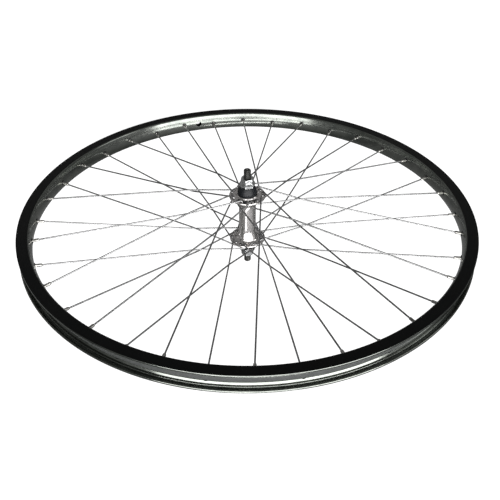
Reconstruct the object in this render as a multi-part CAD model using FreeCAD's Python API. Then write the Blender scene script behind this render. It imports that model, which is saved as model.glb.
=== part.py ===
"""Bicycle front wheel with a solid nutted axle: rim, 36 crossed spokes and a cup-and-cone hub.

Frame: millimetres, origin at the wheel's centre. The axle lies along Y and the wheel stands
upright in the XZ plane, +Z up. Left is +Y, right is -Y. Angles round the wheel are measured
from +Z towards +X. The valve hole is at the bottom, at 180 degrees, and the rim seam at the top.
"""
import FreeCAD, Part
import math
import os

V = FreeCAD.Vector

# ---- driving dimensions, mm ----
# rim, for a 26 inch tyre (bead seat 559 mm, 19 mm between the hooks)
BEAD_SEAT_R = 279.5
LIP_H = 6.5
RIM_R = BEAD_SEAT_R + LIP_H
RIM_HALF_W = 12.5
BED_R = 268.4
BED_EDGE_R = 270.5
BED_EDGE_Y = 9.7
TRACK_LOW_R = 273.3
HOOK_Y = 9.5
GROOVE_Y = 10.6
LIP_ROUND = 0.8
WELL_R = 277.2
WELL_HALF_W = 4.6
WALL = 1.6
CAVITY_TOP_R = 276.0
CAVITY_TOP_Y = 4.0
SHELF_R = BEAD_SEAT_R - 1.4
CAVITY_Y = 10.8
ACCESS_HOLE_R = 4.25
VALVE_HOLE_R = 4.25
VALVE_DEG = 180.0
STRIP_T = 0.8
SLEEVE_HALF_DEG = 4.0
SLEEVE_GAP = 0.15

# spokes and nipples
SPOKES = 36
FIRST_HOLE_DEG = 5.0
STAGGER_Y = 1.6
CROSS_DEG = 60.0
SPOKE_R = 1.0
SPOKE_HEAD_R = 1.9
SPOKE_HEAD_T = 1.1
ELBOW_R = 2.2
WEAVE_BEND_R = 40.0
WEAVE_GAP = 0.2
NIPPLE_R = 1.95
NIPPLE_SQUARE = 3.3
NIPPLE_OUT = 8.5
NIPPLE_HEAD_R = 2.9
NIPPLE_HEAD_H = 2.6
NIPPLE_BORE_R = 1.04
NIPPLE_ROUND_OUT = 1.6
NIPPLE_TIP_H = 1.2
DRIVER_SLOT_W = 0.8
DRIVER_SLOT_DEEP = 1.0
EYELET_R = 2.7
EYELET_BORE_R = 2.15
EYELET_LIP_R = 3.4
EYELET_LIP_OUT = 0.45
EYELET_SINK = 0.25
EYELET_IN = 2.3
EYELET_ROLL = 0.6
EYELET_REACH = EYELET_IN + EYELET_ROLL
PRESS_GAP = 0.02

# hub
FLANGE_Y = 32.6
FLANGE_T = 3.0
FLANGE_R = 23.0
FLANGE_EDGE_R = 1.2
HUB_HOLE_PCR = 19.3
HUB_HOLE_R = 1.25
BARREL_R = 10.8
BARREL_PLAIN_Y = 14.0
BARREL_BORE_R = 7.6
SHELL_END_Y = 36.0
COLLAR_R = 14.0
CUP_R = 12.4
CUP_IN_Y = 27.6
CUP_OUT_Y = 34.4

# bearings: ten 3/16 inch balls a side
BALLS = 10
BALL_R = 2.381
BALL_Y = 31.2
BALL_PITCH_R = 8.9
BALL_GAP = 0.05
RACE_R = 2.6
RETAINER_T = 0.9

# axle, M9 x 1, 140 mm long, 100 mm over the locknuts; threads that are engaged are plain
# cylinders at the pitch diameter, and the bare ends have the full outside diameter
AXLE_R = 4.5
AXLE_PITCH_R = 4.2
AXLE_HALF = 70.0
AXLE_CHAMFER = 0.9
AXLE_FIT = 0.02
THREAD_BORE_R = AXLE_PITCH_R + AXLE_FIT
BARE_END_GAP = 0.2
LOCKNUT_OUT_Y = 50.0
LOCKNUT_IN_Y = 46.5
LOCKNUT_AF = 17.0
NUT_OUT_Y = 58.5
NUT_AF = 15.0
NUT_FLANGE_R = 9.8
NUT_FLANGE_T = 1.6
CONE_R = 7.7
CONE_OUT_Y = 42.0
WASHER_T = 2.0
BOOT_IN_Y = 36.4
BOOT_BIG_R = 12.5
BOOT_SMALL_R = 9.0
RUN_GAP = 0.3

SIDES = (("left", 1), ("right", -1))


def save(node, *solids):
    """Write the solids of one sub-part to its STEP file."""
    shape = solids[0] if len(solids) == 1 else Part.makeCompound(list(solids))
    shape.exportStep("parts/%s.step" % node)
    print("%-22s %3d solid(s) %10.1f mm3 valid %s"
          % (node, len(shape.Solids), shape.Volume, shape.isValid()))


def wheel_point(radius, degrees, y):
    """A point at a radius and an angle round the wheel, y along the axle."""
    a = math.radians(degrees)
    return V(radius * math.sin(a), y, radius * math.cos(a))


def outline(points):
    """A closed wire in the YZ plane from (y, r) points; a point with a third value is an arc's middle."""
    edges = []
    at = V(0, points[0][0], points[0][1])
    middle = None
    for y, r, *mid in points[1:] + points[:1]:
        if mid:
            middle = V(0, y, r)
            continue
        to = V(0, y, r)
        edge = Part.Arc(at, middle, to).toShape() if middle else Part.LineSegment(at, to).toShape()
        edges.append(edge)
        at, middle = to, None
    return Part.Wire(edges)


def turned(points, *holes):
    """A solid of revolution round the axle from a (y, r) outline, less any closed outlines in it."""
    face = Part.Face([outline(points)] + [outline(hole) for hole in holes])
    solid = face.revolve(V(0, 0, 0), V(0, 1, 0), 360)
    return solid if solid.Volume > 0 else solid.reversed()


def mirrored(points):
    """The outline of the -Y half, in reverse order, so that both halves make one closed outline."""
    return [(-y, r, *mid) for y, r, *mid in reversed(points)]


def sided(points, side):
    """An outline for the left hub end, turned over for the right end."""
    return [(side * y, r, *mid) for y, r, *mid in points]


def along(shape, place, direction):
    """Move a shape made along +Z from the origin so that it starts at place and points along direction."""
    out = shape.copy()
    out.Placement = FreeCAD.Placement(place, FreeCAD.Rotation(V(0, 0, 1), direction))
    return out


# ---- spoke lacing ----
def spoke_plan(k):
    """Rim and hub angles, hub side and whether the spoke lies inside its flange."""
    rim_deg = FIRST_HOLE_DEG + k * 360.0 / SPOKES
    side = 1 if k % 2 == 0 else -1
    inside = k % 4 < 2
    hub_deg = rim_deg - CROSS_DEG if inside else rim_deg + CROSS_DEG
    return rim_deg, hub_deg, side, inside


def spoke_corners(k):
    """Points of a spoke: in the flange hole, at the elbow, at the weave and at the rim bed."""
    rim_deg, hub_deg, side, inside = spoke_plan(k)
    rim = wheel_point(BED_R, rim_deg, side * STAGGER_Y)
    hub = wheel_point(HUB_HOLE_PCR, hub_deg, side * FLANGE_Y)
    # neighbours of one flange cross for the third time on the line midway between their rim holes
    middle = rim_deg + (-10.0 if inside else 10.0)
    axis = wheel_point(1, middle, 0)
    across = wheel_point(1, middle + 90, 0)
    share = abs(rim.dot(across)) / (abs(rim.dot(across)) + abs(hub.dot(across)))
    weave = rim + (hub - rim) * share
    lift = SPOKE_R + WEAVE_GAP / 2
    weave.y += side * (lift if inside else -lift)
    start_y = FLANGE_Y + FLANGE_T / 2 * (1 if inside else -1)
    face_y = FLANGE_Y - FLANGE_T / 2 * (1 if inside else -1)
    start = V(hub.x, side * start_y, hub.z)
    face = V(hub.x, side * face_y, hub.z)
    d1 = (face - start).normalize()
    elbow = face + d1 * ELBOW_R
    for _ in range(4):
        d2 = (weave - elbow).normalize()
        elbow = face + d1 * ELBOW_R * math.tan(d1.getAngle(d2) / 2)
    return start, elbow, weave, rim


def rounded_path(points, radii):
    """A wire through points whose inner corners are tangent arcs of the given radii."""
    edges = []
    at = points[0]
    for before, corner, after, radius in zip(points, points[1:], points[2:], radii):
        d1 = (corner - before).normalize()
        d2 = (after - corner).normalize()
        half = d1.getAngle(d2) / 2
        reach = radius * math.tan(half)
        a = corner - d1 * reach
        b = corner + d2 * reach
        m = corner + (d2 - d1).normalize() * (radius / math.cos(half) - radius)
        if a.distanceToPoint(at) > 1e-4:
            edges.append(Part.LineSegment(at, a).toShape())
        edges.append(Part.Arc(a, m, b).toShape())
        at = b
    edges.append(Part.LineSegment(at, points[-1]).toShape())
    return Part.Wire(edges)


def nipple_seat(k):
    """The point where a spoke crosses the rim bed and its direction there, towards the hub."""
    _, _, weave, rim = spoke_corners(k)
    return rim, (weave - rim).normalize()


def is_far_rim(edge, start, d):
    """True for the round edge of a spoke head that faces away from the flange."""
    return edge.Curve.TypeId == "Part::GeomCircle" and (edge.Curve.Center - start).dot(d) < -SPOKE_HEAD_T / 2


def spoke(k):
    """One J-bend spoke: button head, elbow at the flange, a bend at the weave, and a threaded end."""
    start, elbow, weave, rim = spoke_corners(k)
    end = rim + (rim - weave).normalize() * (EYELET_IN + NIPPLE_HEAD_H / 2)
    path = rounded_path([start, elbow, weave, end], [ELBOW_R, WEAVE_BEND_R])
    d = (elbow - start).normalize()
    ring = Part.Wire(Part.Circle(start, d, SPOKE_R).toShape())
    shank = path.makePipeShell([ring], True, True)
    head = Part.makeCylinder(SPOKE_HEAD_R, SPOKE_HEAD_T, start - d * SPOKE_HEAD_T, d)
    head = head.makeFillet(SPOKE_HEAD_T * 0.55, [edge for edge in head.Edges if is_far_rim(edge, start, d)])
    return shank.fuse(head).removeSplitter().Solids[0]


def nipple():
    """A nipple along +Z from the rim bed: slotted head inside the rim, square body outside it."""
    low = V(0, 0, -EYELET_REACH)
    body = Part.makeCylinder(NIPPLE_R, NIPPLE_OUT + EYELET_REACH, low)
    corner = V(-NIPPLE_SQUARE / 2, -NIPPLE_SQUARE / 2, NIPPLE_ROUND_OUT)
    square = Part.makeBox(NIPPLE_SQUARE, NIPPLE_SQUARE, NIPPLE_OUT, corner)
    collar = Part.makeCylinder(NIPPLE_R + 1, EYELET_REACH + NIPPLE_ROUND_OUT, low)
    body = body.common(square.fuse(collar))
    tip_z = NIPPLE_OUT - NIPPLE_TIP_H
    tip = Part.makeCone(NIPPLE_R, NIPPLE_R - NIPPLE_TIP_H / 2, NIPPLE_TIP_H, V(0, 0, tip_z))
    keep = Part.makeCylinder(NIPPLE_R, tip_z + EYELET_REACH, low)
    body = body.common(keep.fuse(tip))
    seat = -EYELET_REACH - 0.05
    base = seat - NIPPLE_HEAD_H
    head = Part.makeCylinder(NIPPLE_HEAD_R, NIPPLE_HEAD_H, V(0, 0, base))
    dome = Part.makeSphere(NIPPLE_HEAD_R * 1.25, V(0, 0, base + NIPPLE_HEAD_R * 1.2))
    head = head.common(dome)
    slot = Part.makeBox(2 * NIPPLE_HEAD_R, DRIVER_SLOT_W, DRIVER_SLOT_DEEP,
                        V(-NIPPLE_HEAD_R, -DRIVER_SLOT_W / 2, base))
    bore = Part.makeCylinder(NIPPLE_BORE_R, 40, V(0, 0, -20))
    neck = Part.makeCylinder(NIPPLE_R, 0.2, V(0, 0, seat - 0.1))
    return body.fuse(neck).fuse(head).cut(slot).cut(bore).removeSplitter().Solids[0]


def eyelet():
    """A ferrule along +Z that lines one spoke hole: lip outside, rolled edge inside the cavity."""
    lip = Part.makeCylinder(EYELET_LIP_R, EYELET_SINK + EYELET_LIP_OUT, V(0, 0, -EYELET_SINK))
    top_edges = [edge for edge in lip.Edges if edge.BoundBox.ZMin > EYELET_LIP_OUT - 0.01]
    lip = lip.makeFillet(EYELET_LIP_OUT * 0.8, top_edges)
    tube = Part.makeCylinder(EYELET_R, EYELET_REACH, V(0, 0, -EYELET_REACH))
    roll = Part.makeCylinder(EYELET_R + 0.5, EYELET_ROLL, V(0, 0, -EYELET_REACH))
    bore = Part.makeCylinder(EYELET_BORE_R, 20, V(0, 0, -10))
    return lip.fuse(tube).fuse(roll).cut(bore).removeSplitter().Solids[0]


# ---- rim ----
def cavity():
    """Outline of the hollow between the rim's two walls."""
    half = [(CAVITY_TOP_Y, CAVITY_TOP_R), (CAVITY_TOP_Y + 1.3, SHELF_R), (9.4, SHELF_R),
            (CAVITY_Y, SHELF_R - 1.4), (CAVITY_Y, TRACK_LOW_R + 0.6), (9.9, BED_EDGE_R + 1.9, 1),
            (8.6, BED_EDGE_R + 1.25), (4.4, BED_R + WALL + 0.42, 1)]
    return half + [(0, BED_R + WALL)] + mirrored(half)


def rim():
    """Double-wall rim with hooked lips, drilled for spokes, nipple access and the valve."""
    half = [(0, BED_R), (4.9, BED_R + 0.51, 1), (BED_EDGE_Y, BED_EDGE_R), (11.75, BED_EDGE_R + 1.15, 1),
            (RIM_HALF_W, TRACK_LOW_R), (RIM_HALF_W, RIM_R - LIP_ROUND),
            (RIM_HALF_W - 0.3 * LIP_ROUND, RIM_R - 0.3 * LIP_ROUND, 1), (RIM_HALF_W - LIP_ROUND, RIM_R),
            (GROOVE_Y, RIM_R), (HOOK_Y + 0.3, RIM_R - 0.35, 1), (HOOK_Y, RIM_R - 1.1), (HOOK_Y, RIM_R - 2.0),
            (GROOVE_Y, RIM_R - 3.4), (GROOVE_Y, BEAD_SEAT_R + 1.0),
            (GROOVE_Y - 0.3, BEAD_SEAT_R + 0.3, 1), (GROOVE_Y - 1.0, BEAD_SEAT_R),
            (WELL_HALF_W + 1.2, BEAD_SEAT_R - 0.1), (WELL_HALF_W, WELL_R)]
    solid = turned(half + mirrored(half[1:]), cavity())
    drills = []
    for k in range(SPOKES):
        place, d = nipple_seat(k)
        bed_hole = Part.makeCylinder(EYELET_R + PRESS_GAP, EYELET_IN + 1.0, V(0, 0, -EYELET_IN - 0.5))
        sink = Part.makeCylinder(EYELET_LIP_R + 0.03, 2.0, V(0, 0, -EYELET_SINK))
        drills.append(along(bed_hole.fuse(sink), place, d))
        out = wheel_point(1, spoke_plan(k)[0], 0)
        start = out * (CAVITY_TOP_R - 1.0) + V(0, place.y, 0)
        drills.append(Part.makeCylinder(ACCESS_HOLE_R, 4.0, start, out))
    down = wheel_point(1, VALVE_DEG, 0)
    drills.append(Part.makeCylinder(VALVE_HOLE_R, RIM_R - BED_R + 4, down * (BED_R - 2), down))
    return solid.cut(Part.makeCompound(drills)).Solids[0]


def rim_strip():
    """Plastic strip in the well of the rim, over the nipple access holes, with its own valve hole."""
    low = WELL_R + 0.03
    half = [(0, low), (WELL_HALF_W - 0.05, low), (WELL_HALF_W + 0.35, low + STRIP_T * 0.95),
            (WELL_HALF_W - 0.4, low + STRIP_T)]
    solid = turned(half + mirrored(half[1:]))
    down = wheel_point(1, VALVE_DEG, 0)
    return solid.cut(Part.makeCylinder(VALVE_HOLE_R, 20, down * (WELL_R - 10), down)).Solids[0]


def part_turn(points, half_deg):
    """An outline turned round the axle only from -half_deg to half_deg, at the top of the wheel."""
    section = Part.Face(outline(points))
    section.rotate(V(0, 0, 0), V(0, 1, 0), -half_deg)
    solid = section.revolve(V(0, 0, 0), V(0, 1, 0), 2 * half_deg)
    return solid if solid.Volume > 0 else solid.reversed()


def rim_joint_sleeve():
    """Aluminium insert inside the hollow that joins the two ends of the rolled rim at the seam."""
    g = SLEEVE_GAP
    half = [(CAVITY_TOP_Y + 0.2, CAVITY_TOP_R - g), (CAVITY_TOP_Y + 1.45, SHELF_R - 2 * g),
            (9.2, SHELF_R - 2 * g), (CAVITY_Y - g, SHELF_R - 1.7), (CAVITY_Y - g, TRACK_LOW_R + 1.2),
            (8.4, BED_EDGE_R + 1.25 + 3 * g), (0, BED_R + WALL + 2 * g)]
    core = [(CAVITY_TOP_Y + 0.6, CAVITY_TOP_R - 1.3), (6.2, SHELF_R - 1.7), (8.8, SHELF_R - 1.7),
            (9.3, SHELF_R - 2.5), (9.3, TRACK_LOW_R + 0.9), (7.6, TRACK_LOW_R - 0.1), (0, BED_R + WALL + 2.0)]
    body = part_turn(half + mirrored(half[:-1]), SLEEVE_HALF_DEG)
    core_body = part_turn(core + mirrored(core[:-1]), SLEEVE_HALF_DEG + 1)
    return body.cut(core_body).Solids[0]


# ---- hub ----
def hub_shell():
    """One-piece alloy shell: barrel, two drilled flanges and a bearing seat in each end."""
    inner = FLANGE_Y - FLANGE_T / 2
    outer = FLANGE_Y + FLANGE_T / 2
    e = FLANGE_EDGE_R
    c = e * (1 - math.sqrt(0.5))
    half = [(0, BARREL_R), (BARREL_PLAIN_Y, BARREL_R), (21.5, BARREL_R + 0.6, 1), (27.5, BARREL_R + 2.4),
            (30.0, BARREL_R + 3.9, 1), (inner, BARREL_R + 6.0), (inner, FLANGE_R - e),
            (inner + c, FLANGE_R - c, 1), (inner + e, FLANGE_R), (outer - e, FLANGE_R),
            (outer - c, FLANGE_R - c, 1), (outer, FLANGE_R - e), (outer, COLLAR_R + 1.0),
            (outer + 0.3, COLLAR_R + 0.3, 1), (outer + 1.0, COLLAR_R), (SHELL_END_Y - 0.4, COLLAR_R - 0.5),
            (SHELL_END_Y, COLLAR_R - 0.9), (SHELL_END_Y, CUP_R + PRESS_GAP / 2),
            (CUP_IN_Y, CUP_R + PRESS_GAP / 2),
            (CUP_IN_Y, BARREL_BORE_R + 1.5), (CUP_IN_Y - 2, BARREL_BORE_R), (0, BARREL_BORE_R)]
    solid = turned(half + mirrored(half[1:-1]))
    holes = []
    for k in range(SPOKES):
        _, hub_deg, side, _ = spoke_plan(k)
        place = wheel_point(HUB_HOLE_PCR, hub_deg, side * FLANGE_Y - 5)
        holes.append(Part.makeCylinder(HUB_HOLE_R, 10, place, V(0, 1, 0)))
    return solid.cut(Part.makeCompound(holes)).Solids[0]


def race_arc(side_r, side_y, start, end):
    """Points of a bearing race: an arc round the ball's centre circle from one angle to another."""
    middle = (start + end) / 2
    pts = []
    for i, deg in enumerate((start, middle, end)):
        a = math.radians(deg)
        point = (side_y + RACE_R * math.sin(a), side_r + RACE_R * math.cos(a))
        pts.append((*point, 1) if i == 1 else point)
    return pts


def bearing_cup(side):
    """Hardened cup pressed into the shell; its race holds the balls on the outer, inboard side."""
    shift = (RACE_R - BALL_R - BALL_GAP) * math.sqrt(0.5)
    arc = race_arc(BALL_PITCH_R - shift, BALL_Y + shift, -80, 10)
    y_in = arc[0][0]
    back = CUP_IN_Y + PRESS_GAP
    points = [(back, CUP_R), (back, arc[0][1] - 0.3), (y_in, arc[0][1] - 0.3)]
    points += arc + [(CUP_OUT_Y, arc[-1][1] + 0.2), (CUP_OUT_Y, CUP_R)]
    return turned(sided(points, side))


def bearing_cone(side):
    """Cone screwed on the axle; its race holds the balls on the inner, outboard side."""
    shift = (RACE_R - BALL_R - BALL_GAP) * math.sqrt(0.5)
    arc = race_arc(BALL_PITCH_R + shift, BALL_Y - shift, 190, 100)
    bore = THREAD_BORE_R
    start_y, start_r = arc[0]
    points = [(start_y - 1.2, bore), (start_y - 1.2, start_r - 0.4), (start_y, start_r)]
    points += arc[1:] + [(arc[-1][0] + 0.6, CONE_R), (CONE_OUT_Y, CONE_R), (CONE_OUT_Y, bore)]
    return turned(sided(points, side))


def bearing_balls(side):
    """The ring of steel balls of one hub end."""
    return [Part.makeSphere(BALL_R, wheel_point(BALL_PITCH_R, i * 360.0 / BALLS, side * BALL_Y))
            for i in range(BALLS)]


def ball_retainer(side):
    """Pressed ring that spaces the balls, on their outer, outboard side."""
    low_y = BALL_Y + 1.5
    high_y = low_y + RETAINER_T
    points = [(low_y, BALL_PITCH_R - 0.4), (low_y, BALL_PITCH_R + 2.1), (high_y, BALL_PITCH_R + 2.1),
              (high_y, BALL_PITCH_R - 0.4)]
    ring = turned(sided(points, side))
    pockets = [Part.makeSphere(BALL_R + 0.03, wheel_point(BALL_PITCH_R, i * 360.0 / BALLS, side * BALL_Y))
               for i in range(BALLS)]
    return ring.cut(Part.makeCompound(pockets)).Solids[0]


def dust_ring(side):
    """Thin pressed ring that closes the shell outboard of the cup and turns with the wheel."""
    y0 = CUP_OUT_Y + 0.05
    r_in = CONE_R + RUN_GAP
    points = [(y0, CUP_R), (y0, CUP_R - 0.8), (y0 + 0.7, CUP_R - 0.8), (y0 + 0.7, r_in), (y0 + 1.4, r_in),
              (y0 + 1.4, CUP_R)]
    return turned(sided(points, side))


# ---- axle and what is screwed on it ----
def axle():
    """Threaded steel axle, chamfered at both ends, full size where it is bare outside the nuts."""
    end = AXLE_HALF
    bare = NUT_OUT_Y + BARE_END_GAP
    half = [(bare, AXLE_PITCH_R), (bare, AXLE_R), (end - AXLE_CHAMFER, AXLE_R),
            (end, AXLE_R - AXLE_CHAMFER), (end, 0)]
    return turned(mirrored(half) + half)


def hexagon(across_flats, y0, y1):
    """A hexagonal prism along Y, flats facing +Z and -Z."""
    r = across_flats / math.sqrt(3)
    corners = [wheel_point(r, 30 + 60 * i, y0) for i in range(7)]
    return Part.Face(Part.makePolygon(corners)).extrude(V(0, y1 - y0, 0))


def locknut(side):
    """Hexagonal locknut that holds the cone's setting; its outer face meets the fork end."""
    y0, y1 = LOCKNUT_IN_Y, LOCKNUT_OUT_Y
    corner_r = LOCKNUT_AF / math.sqrt(3)
    flat_r = LOCKNUT_AF / 2
    points = [(y0, THREAD_BORE_R), (y0, corner_r), (y1 - 1.0, corner_r + 0.3), (y1, flat_r),
              (y1, THREAD_BORE_R)]
    body = hexagon(LOCKNUT_AF, *sorted((side * y0, side * y1)))
    return body.common(turned(sided(points, side))).Solids[0]


def axle_nut(side):
    """Flanged hexagonal nut that clamps the fork end against the locknut."""
    y0, y1 = LOCKNUT_OUT_Y, NUT_OUT_Y
    flat_r = NUT_AF / 2
    corner_r = NUT_AF / math.sqrt(3)
    bore = THREAD_BORE_R
    hexa = hexagon(NUT_AF, *sorted((side * (y0 + 0.5), side * y1)))
    crown = [(y0 + 0.5, bore), (y0 + 0.5, corner_r + 0.5), (y1 - 2.0, corner_r + 0.3), (y1, flat_r - 0.1),
             (y1, bore)]
    flange = [(y0, bore), (y0, NUT_FLANGE_R), (y0 + NUT_FLANGE_T * 0.6, NUT_FLANGE_R),
              (y0 + NUT_FLANGE_T, NUT_FLANGE_R - 0.6), (y0 + NUT_FLANGE_T + 1.0, corner_r - 0.4),
              (y0 + NUT_FLANGE_T + 1.0, bore)]
    body = hexa.common(turned(sided(crown, side)))
    return body.fuse(turned(sided(flange, side))).removeSplitter().Solids[0]


def lock_washer(side):
    """Spacer washer between cone and locknut."""
    step_y = CONE_OUT_Y + WASHER_T
    points = [(CONE_OUT_Y, THREAD_BORE_R), (CONE_OUT_Y, CONE_R), (step_y, CONE_R), (step_y, CONE_R - 0.9),
              (LOCKNUT_IN_Y, CONE_R - 0.9), (LOCKNUT_IN_Y, THREAD_BORE_R)]
    return turned(sided(points, side))


def dust_boot(side):
    """Tapered rubber boot on the cone; its skirt covers the hub's open end without touching it."""
    grip = CONE_R + 0.04
    points = [(BOOT_IN_Y, BOOT_BIG_R - 1.2), (BOOT_IN_Y, BOOT_BIG_R - 0.25), (BOOT_IN_Y + 0.3, BOOT_BIG_R),
              (BOOT_IN_Y + 4.6, BOOT_BIG_R - 1.0, 1), (LOCKNUT_IN_Y - 0.7, BOOT_SMALL_R + 0.5),
              (LOCKNUT_IN_Y - 0.05, BOOT_SMALL_R - 0.2), (LOCKNUT_IN_Y - 0.05, grip), (BOOT_IN_Y + 2.4, grip)]
    return turned(sided(points, side))


def main():
    os.makedirs("parts", exist_ok=True)
    save("rim", rim())
    save("rim_strip", rim_strip())
    save("rim_joint_sleeve", rim_joint_sleeve())
    one_nipple, one_eyelet = nipple(), eyelet()
    seats = [nipple_seat(k) for k in range(SPOKES)]
    save("spoke_nipples", *[along(one_nipple, *seat) for seat in seats])
    save("spoke_eyelets", *[along(one_eyelet, *seat) for seat in seats])
    for k in range(SPOKES):
        save("spoke_%02d" % (k + 1), spoke(k))
    save("hub_shell", hub_shell())
    save("axle", axle())
    save("lock_washers", *[lock_washer(side) for _, side in SIDES])
    for name, side in SIDES:
        save("bearing_cup_" + name, bearing_cup(side))
        save("bearing_cone_" + name, bearing_cone(side))
        save("bearing_balls_" + name, *bearing_balls(side))
        save("ball_retainer_" + name, ball_retainer(side))
        save("dust_ring_" + name, dust_ring(side))
        save("dust_boot_" + name, dust_boot(side))
        save("locknut_" + name, locknut(side))
        save("axle_nut_" + name, axle_nut(side))


main()
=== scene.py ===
import math

import bmesh
import bpy
from mathutils import Matrix, Vector


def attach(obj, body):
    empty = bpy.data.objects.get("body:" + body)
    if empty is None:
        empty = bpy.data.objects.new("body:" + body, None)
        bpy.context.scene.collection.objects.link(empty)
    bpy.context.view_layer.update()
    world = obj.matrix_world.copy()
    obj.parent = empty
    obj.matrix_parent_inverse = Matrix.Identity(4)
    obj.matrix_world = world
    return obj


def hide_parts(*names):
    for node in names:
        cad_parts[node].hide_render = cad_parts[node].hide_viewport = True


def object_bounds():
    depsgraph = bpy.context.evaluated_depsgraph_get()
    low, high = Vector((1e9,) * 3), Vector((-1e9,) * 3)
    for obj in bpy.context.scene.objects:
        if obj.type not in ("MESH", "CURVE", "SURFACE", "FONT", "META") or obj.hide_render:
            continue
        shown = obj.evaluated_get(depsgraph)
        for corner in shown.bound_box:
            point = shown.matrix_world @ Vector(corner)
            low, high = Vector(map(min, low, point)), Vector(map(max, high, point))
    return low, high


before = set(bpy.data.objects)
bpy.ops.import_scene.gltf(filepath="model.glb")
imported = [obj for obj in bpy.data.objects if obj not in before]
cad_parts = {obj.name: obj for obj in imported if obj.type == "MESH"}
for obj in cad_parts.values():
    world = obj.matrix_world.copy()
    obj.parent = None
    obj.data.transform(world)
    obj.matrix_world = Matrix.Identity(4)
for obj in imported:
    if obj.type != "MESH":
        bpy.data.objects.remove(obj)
cad_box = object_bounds()


# ---- floor, light and view ----
# A pale floor that the wheel stands on, broad soft lights overhead and behind with a small one at the
# side, and a room that lights the wheel dimly, more so from overhead. The view looks down past the top
# of the rim on the wheel's left side.
FLOOR_HALF = 6.0
FLOOR_PALE = (0.1, 0.1, 0.1, 1)
FLOOR_GLOW = 0.97
ROOM_LOW = (0.17, 0.175, 0.17, 1)
ROOM_HIGH = (0.55, 0.55, 0.56, 1)
ROOM_SEEN = (0.93, 0.93, 0.93, 1)
LENS = 50.85
VIEW_REACH = 0.9088
VIEW_LIFT = math.radians(34.503)
VIEW_SWING = math.radians(16.45)
VIEW_YAW, VIEW_PITCH, VIEW_ROLL = 0.003564, -0.047196, 0.001907


def add(tree, kind, inputs=None, **settings):
    """A node with its settings, and its inputs linked from a socket or given a value."""
    node = tree.nodes.new(kind)
    for key, value in settings.items():
        setattr(node, key, value)
    for key, value in (inputs or {}).items():
        if isinstance(value, bpy.types.NodeSocket):
            tree.links.new(value, node.inputs[key])
        else:
            node.inputs[key].default_value = value
    return node


def linked(name, data):
    """A new object at the origin, in the scene."""
    made = bpy.data.objects.new(name, data)
    bpy.context.scene.collection.objects.link(made)
    return made


def soft_light(name, place, aim, wide, deep, watts):
    """A rectangular area light at a place, turned to face its aim."""
    data = bpy.data.lights.new(name, "AREA")
    data.shape = "RECTANGLE"
    data.size, data.size_y, data.energy = wide, deep, watts
    lamp = linked(name, data)
    lamp.location = place
    lamp.rotation_euler = (Vector(aim) - Vector(place)).to_track_quat("-Z", "Y").to_euler()
    return lamp


floor_mesh = bpy.data.meshes.new("floor")
floor_corners = [(x * FLOOR_HALF, y * FLOOR_HALF, cad_box[0].z)
                 for x, y in ((-1, -1), (1, -1), (1, 1), (-1, 1))]
floor_mesh.from_pydata(floor_corners, [], [(0, 1, 2, 3)])
floor = linked("floor", floor_mesh)
floor_pale = bpy.data.materials.new("floor_pale")
floor_pale.use_nodes = True
floor_tree = floor_pale.node_tree
floor_shader = floor_tree.nodes["Principled BSDF"]
floor_shader.inputs["Base Color"].default_value = FLOOR_PALE
floor_shader.inputs["Roughness"].default_value = 0.9
floor_shader.inputs["Specular IOR Level"].default_value = 0.1
floor_shader.inputs["Emission Color"].default_value = (1, 1, 1, 1)
seen = add(floor_tree, "ShaderNodeLightPath").outputs["Is Camera Ray"]
glow = add(floor_tree, "ShaderNodeMath", {0: seen, 1: FLOOR_GLOW}, operation="MULTIPLY")
floor_tree.links.new(glow.outputs[0], floor_shader.inputs["Emission Strength"])
floor_mesh.materials.append(floor_pale)

room = bpy.data.worlds.new("room")
room.use_nodes = True
room_tree = room.node_tree
gaze = add(room_tree, "ShaderNodeTexCoord").outputs["Generated"]
height = add(room_tree, "ShaderNodeSeparateXYZ", {0: gaze}).outputs["Z"]
share = add(room_tree, "ShaderNodeMapRange", {"Value": height, "From Min": 0.1, "From Max": 0.8})
walls = add(room_tree, "ShaderNodeMix", {"Factor": share.outputs[0]}, data_type="RGBA")
walls.inputs[6].default_value, walls.inputs[7].default_value = ROOM_LOW, ROOM_HIGH
straight = add(room_tree, "ShaderNodeLightPath").outputs["Is Camera Ray"]
backdrop = add(room_tree, "ShaderNodeMix", {"Factor": straight}, data_type="RGBA")
backdrop.inputs[7].default_value = ROOM_SEEN
room_tree.links.new(walls.outputs[2], backdrop.inputs[6])
room_tree.links.new(backdrop.outputs[2], room_tree.nodes["Background"].inputs["Color"])
bpy.context.scene.world = room
bpy.context.scene.view_settings.view_transform = "Standard"

soft_light("overhead", (-0.42, 0.025, 1.6), (-0.42, 0.025, 0), 3.4, 1.55, 105)
soft_light("behind", (-0.84, -2.96, 2.86), (0, 0, 0.27), 3.0, 0.32, 27)
soft_light("side", (1.6, 0.9, 0.7), (0, 0, 0), 0.8, 0.8, 4)

reach_side, reach_up = math.sin(VIEW_SWING), math.cos(VIEW_SWING)
view_right = Vector((reach_up, 0, reach_side))
view_back = Vector((-reach_side * math.cos(VIEW_LIFT), math.sin(VIEW_LIFT), reach_up * math.cos(VIEW_LIFT)))
view_up = view_back.cross(view_right)
view_frame = Matrix((view_right, view_up, view_back)).transposed()
view_frame = (view_frame @ Matrix.Rotation(-VIEW_YAW, 3, "Y") @ Matrix.Rotation(VIEW_PITCH, 3, "X")
              @ Matrix.Rotation(-VIEW_ROLL, 3, "Z"))
camera_data = bpy.data.cameras.new("view")
camera_data.lens = LENS
camera_data.clip_start, camera_data.clip_end = 0.05, 50
camera = linked("view", camera_data)
camera.matrix_world = Matrix.Translation(view_back * VIEW_REACH) @ view_frame.to_4x4()
bpy.context.scene.camera = camera


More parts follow.
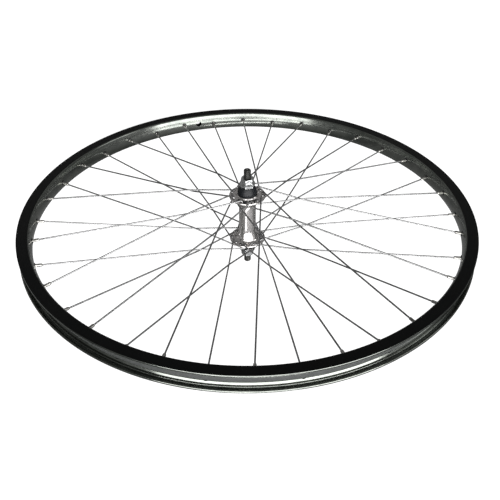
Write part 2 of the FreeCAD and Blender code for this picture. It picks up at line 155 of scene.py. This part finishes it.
# ---- rim ----
# A double-wall rim for a 26 inch tyre: one aluminium extrusion rolled into a hoop and pinned at a seam,
# drilled for 36 spokes and the valve. Its channel and bed are a brighter black. Its flat sides take a darker,
# weakly glossy copy of that black: the black is the rim's own, and the extra darkness is painted shade for
# the dark reflections the sides show.
MM = 0.001
BED_R = 268.4
SPOKES = 36
RIM_STEPS = 576
# Where the painted shade on the rim's flat sides starts, and how squarely a face must point sideways to take
# it.
SIDE_SHADE_FROM = 12.3
SIDE_SHADE_FACING = 0.7
VALVE_R = 4.25
VALVE_MIDDLE_R, VALVE_LENGTH = 277.2, 21.6
NIPPLE_HOLE_R, NIPPLE_HOLE_MIDDLE, NIPPLE_HOLE_LENGTH = 2.72, 1.15, 3.3
ACCESS_R, ACCESS_MIDDLE_R, ACCESS_LENGTH = 4.25, 277.0, 4.0


def finish(name, dark, light, metallic, rough, grain, depth, specular=0.5, rings=False):
    """A metal or plastic finish. A grain of the given size in mm moves the roughness and raises the surface
    by a depth in mm, and slow patches run from dark to light. Rings run the grain round the axle, as a lathe
    does."""
    made = bpy.data.materials.new(name)
    made.use_nodes = True
    tree = made.node_tree
    shader = tree.nodes["Principled BSDF"]
    shader.inputs["Metallic"].default_value = metallic
    shader.inputs["Specular IOR Level"].default_value = specular
    place = add(tree, "ShaderNodeTexCoord").outputs["Object"]
    lay = place
    if rings:
        part = add(tree, "ShaderNodeSeparateXYZ", {0: place})
        flat = add(tree, "ShaderNodeCombineXYZ", {"X": part.outputs["X"], "Y": part.outputs["Z"]})
        out = add(tree, "ShaderNodeVectorMath", {0: flat.outputs[0]}, operation="LENGTH")
        lay = add(tree, "ShaderNodeCombineXYZ", {"X": out.outputs["Value"],
                                                 "Y": part.outputs["Y"]}).outputs[0]
    fine = add(tree, "ShaderNodeTexNoise", {"Vector": lay, "Scale": 1 / (grain * MM), "Detail": 3.0})
    slow = add(tree, "ShaderNodeTexNoise", {"Vector": place, "Scale": 1 / (grain * 40 * MM), "Detail": 2.0})
    both = add(tree, "ShaderNodeMath", {0: fine.outputs["Fac"], 1: slow.outputs["Fac"]}, operation="ADD")
    patch = add(tree, "ShaderNodeMapRange", {"Value": both.outputs[0], "From Min": 0.7, "From Max": 1.3})
    colour = add(tree, "ShaderNodeMix", {"Factor": patch.outputs[0]}, data_type="RGBA")
    colour.inputs[6].default_value, colour.inputs[7].default_value = (*dark, 1), (*light, 1)
    tree.links.new(colour.outputs[2], shader.inputs["Base Color"])
    worn = add(tree, "ShaderNodeMapRange", {"Value": fine.outputs["Fac"], "From Min": 0.3, "From Max": 0.7,
                                            "To Min": rough * 0.8, "To Max": rough * 1.25})
    tree.links.new(worn.outputs[0], shader.inputs["Roughness"])
    raised = add(tree, "ShaderNodeBump", {"Height": fine.outputs["Fac"], "Distance": depth * MM})
    tree.links.new(raised.outputs[0], shader.inputs["Normal"])
    return made


def geometry_tree(name, sizes):
    """An empty geometry tree with a named input for each size, and its input and output sockets."""
    tree = bpy.data.node_groups.new(name, "GeometryNodeTree")
    tree.interface.new_socket("Geometry", in_out="INPUT", socket_type="NodeSocketGeometry")
    for label, kind in sizes.items():
        tree.interface.new_socket(label, in_out="INPUT", socket_type="NodeSocket" + kind)
    tree.interface.new_socket("Geometry", in_out="OUTPUT", socket_type="NodeSocketGeometry")
    return tree, tree.nodes.new("NodeGroupInput").outputs, tree.nodes.new("NodeGroupOutput").inputs


def close_tree(tree, end, geometry, material):
    """Ends a tree as every one here ends: instances made real, then the material."""
    real = add(tree, "GeometryNodeRealizeInstances", {"Geometry": geometry})
    dressed = add(tree, "GeometryNodeSetMaterial", {"Geometry": real.outputs[0], "Material": material})
    tree.links.new(dressed.outputs[0], end["Geometry"])


def grown(name, start, tree, sizes, crease=32):
    """The plain mesh that a tree makes of a start object, which is used up. It is smooth but for edges over
    the crease."""
    start.modifiers.new("grow", "NODES").node_group = tree
    for socket in tree.interface.items_tree:
        if socket.in_out == "INPUT" and socket.name in sizes:
            start.modifiers["grow"][socket.identifier] = sizes[socket.name]
    mesh = bpy.data.meshes.new_from_object(start.evaluated_get(bpy.context.evaluated_depsgraph_get()))
    mesh.name = name
    mesh.materials.clear()
    mesh.materials.append(sizes["Finish"])
    start.modifiers.clear()
    bpy.data.objects.remove(start)
    return settled(linked(name, mesh), crease)


def settled(piece, crease):
    """Turns a closed piece's faces outwards and shades it smooth, but for edges sharper than the crease."""
    whole = bmesh.new()
    whole.from_mesh(piece.data)
    bmesh.ops.recalc_face_normals(whole, faces=whole.faces)
    whole.to_mesh(piece.data)
    whole.free()
    piece.data.shade_smooth()
    piece.data.set_sharp_from_angle(angle=math.radians(crease))
    return piece


def rounded(points, arc_steps=6, guard=0.25):
    """A section's (y, r) points with its arcs drawn: a third value marks the middle of an arc. A long
    straight run gets a point close to each end, so that the shading stays flat along it."""
    drawn = []
    at, middle = Vector(points[0][:2]), None
    for y, r, *mark in points[1:] + points[:1]:
        if mark:
            middle = Vector((y, r))
            continue
        to = Vector((y, r))
        drawn.append(at)
        if middle:
            (ax, ay), (bx, by), (cx, cy) = at, middle, to
            d = 2 * (ax * (by - cy) + bx * (cy - ay) + cx * (ay - by))
            a2, b2, c2 = at.length_squared, middle.length_squared, to.length_squared
            centre = Vector(((a2 * (by - cy) + b2 * (cy - ay) + c2 * (ay - by)) / d,
                             (a2 * (cx - bx) + b2 * (ax - cx) + c2 * (bx - ax)) / d))
            sweep = 2 * (at - centre).angle_signed(middle - centre)
            drawn += [centre + Matrix.Rotation(-sweep * i / arc_steps, 2) @ (at - centre)
                      for i in range(1, arc_steps)]
        elif (to - at).length > 5 * guard:
            step = (to - at).normalized() * guard
            drawn += [at + step, to - step]
        at, middle = to, None
    return drawn


def mirrored(half):
    """The -Y half of a section, in reverse order."""
    return [(-y, r, *mark) for y, r, *mark in reversed(half)]


def wheel_point(radius, degrees, y):
    """A point in mm at an angle round the wheel, from +Z towards +X, y along the axle."""
    turn = math.radians(degrees)
    return Vector((radius * math.sin(turn), y, radius * math.cos(turn)))


def point_cloud(name, places, **vectors):
    """A mesh of loose points in metres that carries named vectors for a tree to read."""
    mesh = bpy.data.meshes.new(name)
    mesh.from_pydata(places, [], [])
    for label, values in vectors.items():
        layer = mesh.attributes.new(label, "FLOAT_VECTOR", "POINT")
        layer.data.foreach_set("vector", [n for v in values for n in v])
    return linked(name, mesh)


def aimed(tree, shape, points, scale=None, twist=None):
    """A shape set on each point with its Z axis along the point's aim, turned about it by a twist."""
    aim = add(tree, "GeometryNodeInputNamedAttribute", {"Name": "aim"}, data_type="FLOAT_VECTOR").outputs[0]
    turn = add(tree, "FunctionNodeAlignRotationToVector", {"Vector": aim}, axis="Z").outputs[0]
    if twist is not None:
        spin = add(tree, "FunctionNodeAxisAngleToRotation", {"Axis": (0, 0, 1), "Angle": twist}).outputs[0]
        turn = add(tree, "FunctionNodeRotateRotation", {"Rotation": turn, "Rotate By": spin},
                   rotation_space="LOCAL").outputs[0]
    inputs = {"Points": points, "Instance": shape, "Rotation": turn}
    if scale is not None:
        inputs["Scale"] = scale
    return add(tree, "GeometryNodeInstanceOnPoints", inputs).outputs[0]


def turning_tree(drilled):
    """Sweeps a section round the axle, and drills it at the points of the Holes object."""
    sizes = {"Section radius": "Float", "Steps": "Int", "Finish": "Material"}
    if drilled:
        sizes["Holes"] = "Object"
    tree, size, end = geometry_tree("turning_drilled" if drilled else "turning", sizes)
    path = add(tree, "GeometryNodeCurvePrimitiveCircle", {"Resolution": size["Steps"],
                                                          "Radius": size["Section radius"]})
    swept = add(tree, "GeometryNodeCurveToMesh", {"Curve": path.outputs["Curve"],
                                                  "Profile Curve": size["Geometry"]})
    body = add(tree, "GeometryNodeTransform", {"Geometry": swept.outputs[0],
                                               "Rotation": (math.radians(90), 0, 0)}).outputs[0]
    if drilled:
        holes = add(tree, "GeometryNodeObjectInfo", {"Object": size["Holes"]}).outputs["Geometry"]
        drill = add(tree, "GeometryNodeMeshCylinder",
                    {"Vertices": 32, "Radius": 1.0, "Depth": 1.0}).outputs[0]
        bore = add(tree, "GeometryNodeInputNamedAttribute", {"Name": "bore"},
                   data_type="FLOAT_VECTOR").outputs[0]
        drills = add(tree, "GeometryNodeRealizeInstances", {"Geometry": aimed(tree, drill, holes, bore)})
        cut = add(tree, "GeometryNodeMeshBoolean", operation="DIFFERENCE", solver="MANIFOLD")
        tree.links.new(body, cut.inputs[0])
        tree.links.new(drills.outputs[0], cut.inputs[1])
        body = cut.outputs[0]
    close_tree(tree, end, body, size["Finish"])
    return tree


turning, turning_drilled = turning_tree(False), turning_tree(True)


def turned(name, section, steps, material, holes=(), hollow=None, crease=32):
    """A piece turned to a closed section of (y, r) points in mm, then drilled. A hollow is a second closed
    section inside it, drawn the other way round. Each hole has a middle, a direction, a radius and a
    length."""
    base = sum(r for _, r in section) / len(section)
    data = bpy.data.curves.new(name + "_section", "CURVE")
    data.dimensions = "3D"
    for loop in [section] + ([hollow] if hollow else []):
        line = data.splines.new("POLY")
        line.points.add(len(loop) - 1)
        for spot, (y, r) in zip(line.points, loop):
            spot.co = ((r - base) * MM, y * MM, 0, 1)
        line.use_cyclic_u = True
    sizes = {"Section radius": base * MM, "Steps": steps, "Finish": material}
    if holes:
        sizes["Holes"] = point_cloud(name + "_holes", [middle * MM for middle, *_ in holes],
                                     aim=[aim for _, aim, *_ in holes],
                                     bore=[(r * MM, r * MM, length * MM) for *_, r, length in holes])
    piece = grown(name, linked(name + "_start", data), turning_drilled if holes else turning, sizes, crease)
    if holes:
        bpy.data.objects.remove(sizes["Holes"])
    return piece


# Each spoke's two ends: neighbours in pairs lean apart and cross three others on the way to the hub.
HOLE_STEP = 360.0 / SPOKES
FIRST_HOLE = 5.0
LEAN = 60.0
STAGGER = 1.6
HUB_HOLES_R = 19.3
FLANGE_Y = 32.6
FLANGE_HALF = 1.5
ELBOW_R = 2.2
WEAVE = 1.1


def lacing(k):
    """Rim angle, hub angle, hub side, and whether spoke k lies inside its flange."""
    rim_deg = FIRST_HOLE + k * HOLE_STEP
    inside = k % 4 < 2
    return rim_deg, rim_deg + (-LEAN if inside else LEAN), 1 if k % 2 == 0 else -1, inside


def spoke_corners(k):
    """A spoke's head, elbow, weave and rim ends in mm; it bends a little where it passes its neighbour."""
    rim_deg, hub_deg, side, inside = lacing(k)
    rim = wheel_point(BED_R, rim_deg, side * STAGGER)
    hub = wheel_point(HUB_HOLES_R, hub_deg, side * FLANGE_Y)
    across = wheel_point(1, rim_deg + (-HOLE_STEP if inside else HOLE_STEP) + 90, 0)
    weave = rim + (hub - rim) * abs(rim.dot(across)) / (abs(rim.dot(across)) + abs(hub.dot(across)))
    weave.y += side * (WEAVE if inside else -WEAVE)
    out = Vector((0, side * (-1 if inside else 1), 0))
    head, face = hub - out * FLANGE_HALF, hub + out * FLANGE_HALF
    elbow = face + out * ELBOW_R
    for _ in range(4):
        elbow = face + out * ELBOW_R * math.tan(out.angle(weave - elbow) / 2)
    return head, elbow, weave, rim


nipple_seats = [(corners[3], (corners[2] - corners[3]).normalized())
                for corners in map(spoke_corners, range(SPOKES))]
down = wheel_point(1, 180, 0)
rim_holes = [(down * VALVE_MIDDLE_R, down, VALVE_R, VALVE_LENGTH)]
for k, (seat, aim) in enumerate(nipple_seats):
    out = wheel_point(1, lacing(k)[0], 0)
    access = out * ACCESS_MIDDLE_R + Vector((0, seat.y, 0))
    rim_holes.append((seat - aim * NIPPLE_HOLE_MIDDLE, aim, NIPPLE_HOLE_R, NIPPLE_HOLE_LENGTH))
    rim_holes.append((access, out, ACCESS_R, ACCESS_LENGTH))

rim_outer = [(0, 268.4), (4.9, 268.91, 1), (9.7, 270.5), (11.75, 271.65, 1), (12.5, 273.3), (12.5, 285.2),
             (12.26, 285.76, 1), (11.7, 286), (10.6, 286), (9.8, 285.65, 1), (9.5, 284.9), (9.5, 284.0),
             (10.6, 282.6), (10.6, 280.5), (10.3, 279.8, 1), (9.6, 279.5), (8.9, 279.45), (6.9, 279.0, 1),
             (5.2, 278.2), (4.6, 277.2)]
rim_hollow = [(4, 276), (5.2, 277.85), (9.4, 278.1), (10.8, 276.7), (10.8, 273.9), (9.9, 272.4, 1),
              (8.6, 271.75), (4.4, 270.42, 1), (0, 270.0)]
rim_bright = finish("rim_bright_black", (0.13, 0.14, 0.13), (0.22, 0.23, 0.21), 1.0, 0.17, 0.35, 0.002,
                    rings=True)
# A darker, weakly glossy copy of the rim's black for its flat sides: painted shade.
rim_side_painted_shade = finish("rim_side_black_painted_shade", (0.001, 0.0012, 0.0012), (0.002, 0.0023, 0.0021), 0.0, 0.36, 0.5, 0.006,
                   specular=0.12)
rim_shell = turned("rim_hoop", rounded(rim_outer + mirrored(rim_outer[1:])), RIM_STEPS, rim_bright, rim_holes,
                   rounded(rim_hollow + mirrored(rim_hollow[:-1]), 3))
rim_shell.data.materials.append(rim_side_painted_shade)
# The flat side faces take the darker copy of the black, painted shade.
for face in rim_shell.data.polygons:
    if abs(face.center.y) > SIDE_SHADE_FROM * MM and abs(face.normal.y) > SIDE_SHADE_FACING:
        face.material_index = 1
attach(rim_shell, "wheel")
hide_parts("rim")


# ---- rim strip ----
# A thin plastic band snapped into the rim's well. It covers the nipple access holes, so that the tube
# can't press into them, and has a hole of its own for the valve.
STRIP_MIDDLE_R, STRIP_HOLE_LENGTH = 277.6, 4.0
strip_half = [(0, 277.23), (4.55, 277.23), (4.95, 277.99), (4.2, 278.03)]
strip_grey = finish("strip_grey", (0.026, 0.028, 0.027), (0.038, 0.04, 0.039), 0.0, 0.5, 0.3, 0.008,
                    specular=0.3)
strip = turned("rim_band", rounded(strip_half + mirrored(strip_half[1:])), RIM_STEPS, strip_grey,
               [(down * STRIP_MIDDLE_R, down, VALVE_R, STRIP_HOLE_LENGTH)])
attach(strip, "wheel")
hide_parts("rim_strip")


# ---- spoke eyelets ----
# Steel ferrules pressed into the bed, one round each spoke hole, with the lip rolled over outside
# and the inner end spread inside the hollow. They are coloured near-black, which draws a dark ring round each
# spoke hole.
EYELET_SIDES = 32
SLOT_LENGTH, SLOT_HEIGHT = 0.02, 0.002
eyelet_rows = [(-2.9, 2.15), (-2.9, 3.0), (-2.8, 3.15), (-2.6, 3.2), (-2.3, 3.2), (-2.3, 2.7), (-0.25, 2.7),
               (-0.25, 3.4), (0.09, 3.4), (0.3, 3.3), (0.42, 3.1), (0.45, 2.85), (0.44, 2.5), (0.36, 2.25),
               (0.15, 2.15)]


def ring(sides, height, radius):
    """One ring of points round the Z axis; radius is a number or a function of the angle."""
    turns = [2 * math.pi * i / sides for i in range(sides)]
    reach = [radius(t) if callable(radius) else radius for t in turns]
    return [Vector((r * math.cos(t), r * math.sin(t), height)) for t, r in zip(turns, reach)]


def skinned(name, rings, bored=True):
    """A closed skin over rings of points in mm. Round a bore the last ring meets the first, else both are
    capped."""
    sides, count = len(rings[0]), len(rings)
    faces = []
    for i in range(count if bored else count - 1):
        a, b = i * sides, (i + 1) % count * sides
        faces += [(a + j, a + (j + 1) % sides, b + (j + 1) % sides, b + j) for j in range(sides)]
    if not bored:
        faces += [tuple(range(sides)), tuple(range((count - 1) * sides, count * sides))]
    mesh = bpy.data.meshes.new(name)
    mesh.from_pydata([p * MM for row in rings for p in row], [], faces)
    return linked(name, mesh)


def seating_tree(slotted):
    """Sets a small part on each spoke hole, along its spoke; a nipple is slotted and stops at any angle."""
    sizes = {"Seats": "Object", "Finish": "Material", "Seed": "Int"}
    if slotted:
        sizes.update({"Slot width": "Float", "Slot middle": "Float"})
    tree, size, end = geometry_tree("seating_slotted" if slotted else "seating", sizes)
    seats = add(tree, "GeometryNodeObjectInfo", {"Object": size["Seats"]}).outputs["Geometry"]
    part, twist = size["Geometry"], None
    if slotted:
        block = add(tree, "ShaderNodeCombineXYZ", {"X": SLOT_LENGTH, "Y": size["Slot width"],
                                                   "Z": SLOT_HEIGHT})
        blade = add(tree, "GeometryNodeMeshCube", {"Size": block.outputs[0]})
        drop = add(tree, "ShaderNodeCombineXYZ", {"Z": size["Slot middle"]})
        lowered = add(tree, "GeometryNodeTransform", {"Geometry": blade.outputs[0],
                                                      "Translation": drop.outputs[0]})
        cut = add(tree, "GeometryNodeMeshBoolean", operation="DIFFERENCE", solver="EXACT")
        tree.links.new(part, cut.inputs[0])
        tree.links.new(lowered.outputs[0], cut.inputs[1])
        part = cut.outputs[0]
        rolled = add(tree, "FunctionNodeRandomValue", {"Seed": size["Seed"]}, data_type="FLOAT")
        rolled.inputs[3].default_value = 2 * math.pi
        twist = rolled.outputs[1]
    close_tree(tree, end, aimed(tree, part, seats, twist=twist), size["Finish"])
    return tree


seats = point_cloud("spoke_seats", [seat * MM for seat, _ in nipple_seats],
                    aim=[aim for _, aim in nipple_seats])
eyelet_black = finish("eyelet_black", (0.006, 0.006, 0.007), (0.018, 0.018, 0.018), 0.0, 0.25, 0.3, 0.01)
eyelets = grown("eyelets", skinned("eyelet", [ring(EYELET_SIDES, z, r) for z, r in eyelet_rows]),
                seating_tree(False), {"Seats": seats, "Finish": eyelet_black})
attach(eyelets, "wheel")
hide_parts("spoke_eyelets")


# ---- spoke nipples ----
# Nickel-plated brass nuts, one to a spoke. The domed head with its driver slot sits inside the rim, and the
# squared body that a spoke key grips stands out of the eyelet.
NIPPLE_R = 1.95
NIPPLE_FLAT = 1.65
NIPPLE_SIDES = 24


def squared(limit):
    """The radius of a round body with four flats, by angle."""
    quarter = math.pi / 2
    return lambda t: min(limit, NIPPLE_FLAT / math.cos((t + quarter / 2) % quarter - quarter / 2))


nipple_rows = [(-5.55, 1.04), (-5.55, 1.9), (-5.35, 2.3), (-4.95, 2.62), (-4.4, 2.82), (-3.8, 2.9),
               (-3.05, 2.9), (-2.95, 2.8), (-2.95, NIPPLE_R), (1.5, NIPPLE_R), (1.62, squared(NIPPLE_R)),
               (7.3, squared(NIPPLE_R)), (8.0, squared(1.62)), (8.4, 1.4), (8.5, 1.3), (8.5, 1.1),
               (8.35, 1.04)]
nipple_plate = finish("nipple_plate", (0.40, 0.39, 0.37), (0.56, 0.55, 0.52), 1.0, 0.24, 0.4, 0.006)
nipples = grown("nipples", skinned("nipple", [ring(NIPPLE_SIDES, z, r) for z, r in nipple_rows]),
                seating_tree(True), {"Seats": seats, "Finish": nipple_plate, "Seed": 11,
                                     "Slot width": 0.0008, "Slot middle": -0.00555})
bpy.data.objects.remove(seats)
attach(nipples, "wheel")
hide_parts("spoke_nipples")


# ---- spokes ----
# Drawn steel wire of 2 mm with a forged button head and a bent elbow at the hub. Four neighbours make the
# pattern, which repeats nine times round the wheel; the last 5 mm turns into the nipple.
HEAD_PROFILE = [(-1.1, 1.2), (-1.02, 1.55), (-0.85, 1.78), (-0.6, 1.9), (-0.06, 1.9), (0.0, 1.82),
                (0.01, 1.0)]
PATTERN = 4
WIRE_SIDES = 16
WEAVE_BEND_R = 40.0
BEND_STEPS = 8
PAST_BED = 3.6


def bent(points, radii, steps):
    """The points of a wire that turns each inner corner on an arc of the given radius."""
    wire = [points[0]]
    for before, corner, after, radius in zip(points, points[1:], points[2:], radii):
        d1, d2 = (corner - before).normalized(), (after - corner).normalized()
        half = d1.angle(d2) / 2
        start, axis = corner - d1 * radius * math.tan(half), d1.cross(d2).normalized()
        centre = start + axis.cross(d1) * radius
        wire += [centre + Matrix.Rotation(2 * half * i / steps, 3, axis) @ (start - centre)
                 for i in range(steps + 1)]
    return wire + [points[-1]]


wires = bpy.data.curves.new("wires", "CURVE")
wires.dimensions = "3D"
for k in range(PATTERN):
    head, elbow, weave, rim_end = spoke_corners(k)
    end = rim_end + (rim_end - weave).normalized() * PAST_BED
    out = (elbow - head).normalized()
    wire = [(head + out * s, r) for s, r in HEAD_PROFILE]
    wire += [(p, 1.0) for p in bent([head, elbow, weave, end], (ELBOW_R, WEAVE_BEND_R), BEND_STEPS)[1:]]
    line = wires.splines.new("POLY")
    line.points.add(len(wire) - 1)
    for spot, (p, r) in zip(line.points, wire):
        spot.co, spot.radius = (*(p * MM), 1), r

lacing_tree, size, end_socket = geometry_tree("lacing", {
    "Wire radius": "Float", "Sides": "Int", "Repeats": "Int", "Repeat angle": "Float", "Finish": "Material"})
gauge = add(lacing_tree, "GeometryNodeCurvePrimitiveCircle", {"Resolution": size["Sides"],
                                                              "Radius": size["Wire radius"]})
thick = add(lacing_tree, "GeometryNodeInputRadius")
drawn_wire = add(lacing_tree, "GeometryNodeCurveToMesh", {
    "Curve": size["Geometry"], "Scale": thick.outputs[0], "Profile Curve": gauge.outputs["Curve"],
    "Fill Caps": True})
centre_points = add(lacing_tree, "GeometryNodePoints", {"Count": size["Repeats"]})
number = add(lacing_tree, "GeometryNodeInputIndex")
angle = add(lacing_tree, "ShaderNodeMath", {0: number.outputs[0], 1: size["Repeat angle"]},
            operation="MULTIPLY")
about = add(lacing_tree, "FunctionNodeAxisAngleToRotation", {"Axis": (0, 1, 0), "Angle": angle.outputs[0]})
laced = add(lacing_tree, "GeometryNodeInstanceOnPoints", {"Points": centre_points.outputs[0],
                                                          "Instance": drawn_wire.outputs[0],
                                                          "Rotation": about.outputs[0]})
close_tree(lacing_tree, end_socket, laced.outputs[0], size["Finish"])
spoke_steel = finish("spoke_steel", (0.26, 0.26, 0.26), (0.40, 0.40, 0.40), 1.0, 0.32, 0.25, 0.003)
spokes = grown("spokes", linked("wires", wires), lacing_tree,
               {"Wire radius": 1.0 * MM, "Sides": WIRE_SIDES, "Repeats": SPOKES // PATTERN,
                "Repeat angle": 2 * math.pi * PATTERN / SPOKES, "Finish": spoke_steel}, crease=40)
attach(spokes, "wheel")
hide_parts(*["spoke_%02d" % (k + 1) for k in range(SPOKES)])


# ---- hub shell ----
# One forging of aluminium, turned and polished: a slim barrel that flares into two flanges, each drilled
# for eighteen spokes, with a collar outside each flange round the bearing.
HUB_STEPS = 240
HUB_HOLE_R, HUB_HOLE_LENGTH = 1.25, 10.0
hub_half = [(0, 10.8), (14, 10.8), (21.5, 11.4, 1), (27.5, 13.2), (30, 14.7, 1), (31.1, 16.8), (31.1, 21.8),
            (31.45, 22.65, 1), (32.3, 23), (32.9, 23), (33.75, 22.65, 1), (34.1, 21.8), (34.1, 15),
            (34.4, 14.3, 1), (35.1, 14), (35.6, 13.5), (36, 13.1), (36, 12.41), (27.6, 12.41), (27.6, 9.1),
            (25.6, 7.6), (0, 7.6)]
hub_holes = []
for k in range(SPOKES):
    _, hub_deg, side, _ = lacing(k)
    hub_holes.append((wheel_point(HUB_HOLES_R, hub_deg, side * FLANGE_Y), Vector((0, 1, 0)), HUB_HOLE_R,
                      HUB_HOLE_LENGTH))
hub_polish = finish("hub_polish", (0.62, 0.60, 0.585), (0.78, 0.755, 0.74), 1.0, 0.14, 0.12, 0.003,
                    rings=True)
hub = turned("hub_body", rounded(hub_half + mirrored(hub_half[1:-1])), HUB_STEPS, hub_polish, hub_holes)
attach(hub, "wheel")
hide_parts("hub_shell")


# ---- dust boots ----
# Black moulded rubber caps, pressed on the cones, whose skirts reach over the hub's open ends and keep
# dirt out. They stand still with the axle.
BOOT_STEPS = 96
boot_section = [(36.4, 11.3), (36.4, 12.1), (36.5, 12.4, 1), (36.8, 12.5), (38.9, 12.3, 1), (41.0, 11.5),
                (43.8, 10.5, 1), (45.6, 9.6), (46.2, 9.4, 1), (46.42, 8.8), (46.42, 7.78), (38.8, 7.78)]
boot_black = finish("boot_black", (0.004, 0.005, 0.006), (0.009, 0.01, 0.012), 0.0, 0.42, 0.5, 0.02,
                    specular=0.25)
for name, side in (("left", 1), ("right", -1)):
    boot = turned("boot_" + name, [Vector((side * y, r)) for y, r in rounded(boot_section)], BOOT_STEPS,
                  boot_black)
    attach(boot, "axle")
    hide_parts("dust_boot_" + name)


# ---- locknuts and axle nuts ----
# Forged steel, plated bright. A 17 mm locknut holds each cone's setting, and a 15 mm nut with a broad
# flange clamps the fork end against it. Both have their outer corners turned off to a cone.
NUT_SIDES = 96
LOCKNUT_FLAT, LOCKNUT_ROUND_UNDER = 8.5, 8.4
NUT_FLAT, NUT_CORNER, NUT_ROUND_UNDER = 7.5, 8.58, 7.3
NUT_FLANGE_TO = 53.2
locknut_rows = [(46.5, 4.35), (46.5, 8.3), (46.62, 8.6), (46.9, 9.7), (49.0, 9.7), (49.25, 9.5), (49.5, 9.2),
                (49.75, 8.85), (49.93, 8.55), (50.0, 8.35), (50.0, 5.0), (49.6, 4.35)]
nut_rows = [(50.0, 4.35), (50.0, 9.6), (50.1, 9.8), (50.9, 9.8), (51.05, 9.7), (51.6, 9.0), (52.4, 8.2),
            (53.0, 7.62), (53.4, NUT_CORNER), (56.2, NUT_CORNER), (56.6, 8.55), (57.1, 8.3), (57.6, 8.0),
            (58.1, 7.65), (58.4, 7.4), (58.5, 7.1), (58.5, 5.1), (58.1, 4.35)]


def hexed(flat, limit, floor_r=0.0):
    """The radius of a hexagon with its corners limited, and never less than a round flange under it."""
    sixth = math.pi / 3
    return lambda t: max(min(limit, flat / math.cos((t + sixth / 2) % sixth - sixth / 2)), floor_r)


def upright(rings, side):
    """Rings made round Z, stood round the axle on one side of the wheel; a flat faces up."""
    return [[Vector((p.y, side * p.z, p.x)) for p in row] for row in rings]


locknut_shape = [ring(NUT_SIDES, y, hexed(LOCKNUT_FLAT, r) if r > LOCKNUT_ROUND_UNDER else r)
                 for y, r in locknut_rows]
nut_shape = []
for y, r in nut_rows:
    if r < NUT_ROUND_UNDER:
        reach = r
    elif y < NUT_FLANGE_TO:
        reach = hexed(NUT_FLAT, NUT_CORNER, r)
    else:
        reach = hexed(NUT_FLAT, r)
    nut_shape.append(ring(NUT_SIDES, y, reach))
nut_plate = finish("nut_plate", (0.42, 0.43, 0.43), (0.62, 0.63, 0.63), 1.0, 0.2, 0.35, 0.006)
for name, side in (("left", 1), ("right", -1)):
    for piece_name, node, shape in (("locknut_hex_", "locknut_", locknut_shape),
                                    ("nut_hex_", "axle_nut_", nut_shape)):
        nut = settled(skinned(piece_name + name, upright(shape, side)), 25)
        nut.data.materials.append(nut_plate)
        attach(nut, "axle")
        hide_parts(node + name)


# ---- axle ----
# A solid steel axle with a rolled M9 x 1 thread at each end, blackened and lightly oiled, and a centre
# hole in each end face from the lathe.
THREAD_PITCH = 1.0
THREAD_CREST = 4.5
THREAD_DEPTH = 0.6
THREAD_FROM = 42.0
AXLE_END = 70.0
AXLE_CHAMFER = 0.9
AXLE_SIDES = 48
PLAIN_R = 4.2
ROWS_PER_TURN = 8


def threaded(y):
    """The radius round a row of the thread: flattened crests and roots on a one-millimetre helix."""
    worn = max(0.0, abs(y) - (AXLE_END - AXLE_CHAMFER))

    def radius(t):
        wave = 1 - abs(2 * ((y / THREAD_PITCH - t / (2 * math.pi)) % 1.0) - 1)
        height = min(1.0, max(0.0, (wave - 0.15) / 0.7))
        return min(THREAD_CREST - THREAD_DEPTH * (1 - height), THREAD_CREST - worn)
    return radius


axle_half = [(0.0, PLAIN_R), (THREAD_FROM - 0.6, PLAIN_R)]
thread_rows = int((AXLE_END - THREAD_FROM) / THREAD_PITCH * ROWS_PER_TURN)
axle_half += [(THREAD_FROM + i * THREAD_PITCH / ROWS_PER_TURN, "thread") for i in range(thread_rows + 1)]
axle_half += [(AXLE_END, 3.55), (AXLE_END, 1.4), (AXLE_END - 1.2, 0.7), (AXLE_END - 2.4, 0.6)]
axle_rows = [(-y, r) for y, r in reversed(axle_half[1:])] + axle_half
axle_shape = [ring(AXLE_SIDES, y, threaded(y) if r == "thread" else r) for y, r in axle_rows]
axle_black = finish("axle_black", (0.045, 0.045, 0.043), (0.13, 0.13, 0.125), 0.85, 0.32, 0.4, 0.01)
axle = settled(skinned("axle_rod", upright(axle_shape, 1), bored=False), 50)
axle.data.materials.append(axle_black)
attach(axle, "axle")
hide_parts("axle")


# ---- bearings, washers and seam sleeve ----
# Ground and polished steel inside the hub, pressed steel rings and washers, and the mill-finished insert
# at the rim's seam. All of them are hidden in the built wheel and keep their own shapes.
def dress(material, *nodes):
    """Gives nodes of the fixed frame a material."""
    for node in nodes:
        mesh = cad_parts[node].data
        mesh.materials.clear()
        mesh.materials.append(material)


bearing_steel = finish("bearing_steel", (0.36, 0.35, 0.34), (0.48, 0.47, 0.46), 1.0, 0.22, 0.15, 0.003,
                       rings=True)
ball_steel = finish("ball_steel", (0.76, 0.76, 0.77), (0.86, 0.86, 0.87), 1.0, 0.07, 0.2, 0.001)
pressed_steel = finish("pressed_steel", (0.40, 0.39, 0.37), (0.56, 0.55, 0.52), 1.0, 0.3, 0.3, 0.006)
plated_ring = finish("plated_ring", (0.62, 0.62, 0.62), (0.76, 0.76, 0.76), 1.0, 0.2, 0.15, 0.003, rings=True)
sleeve_alloy = finish("sleeve_alloy", (0.54, 0.54, 0.55), (0.68, 0.68, 0.69), 1.0, 0.38, 0.4, 0.01)
for side in ("left", "right"):
    dress(bearing_steel, "bearing_cup_" + side, "bearing_cone_" + side)
    dress(ball_steel, "bearing_balls_" + side)
    dress(pressed_steel, "ball_retainer_" + side)
    dress(plated_ring, "dust_ring_" + side)
dress(plated_ring, "lock_washers")
dress(sleeve_alloy, "rim_joint_sleeve")
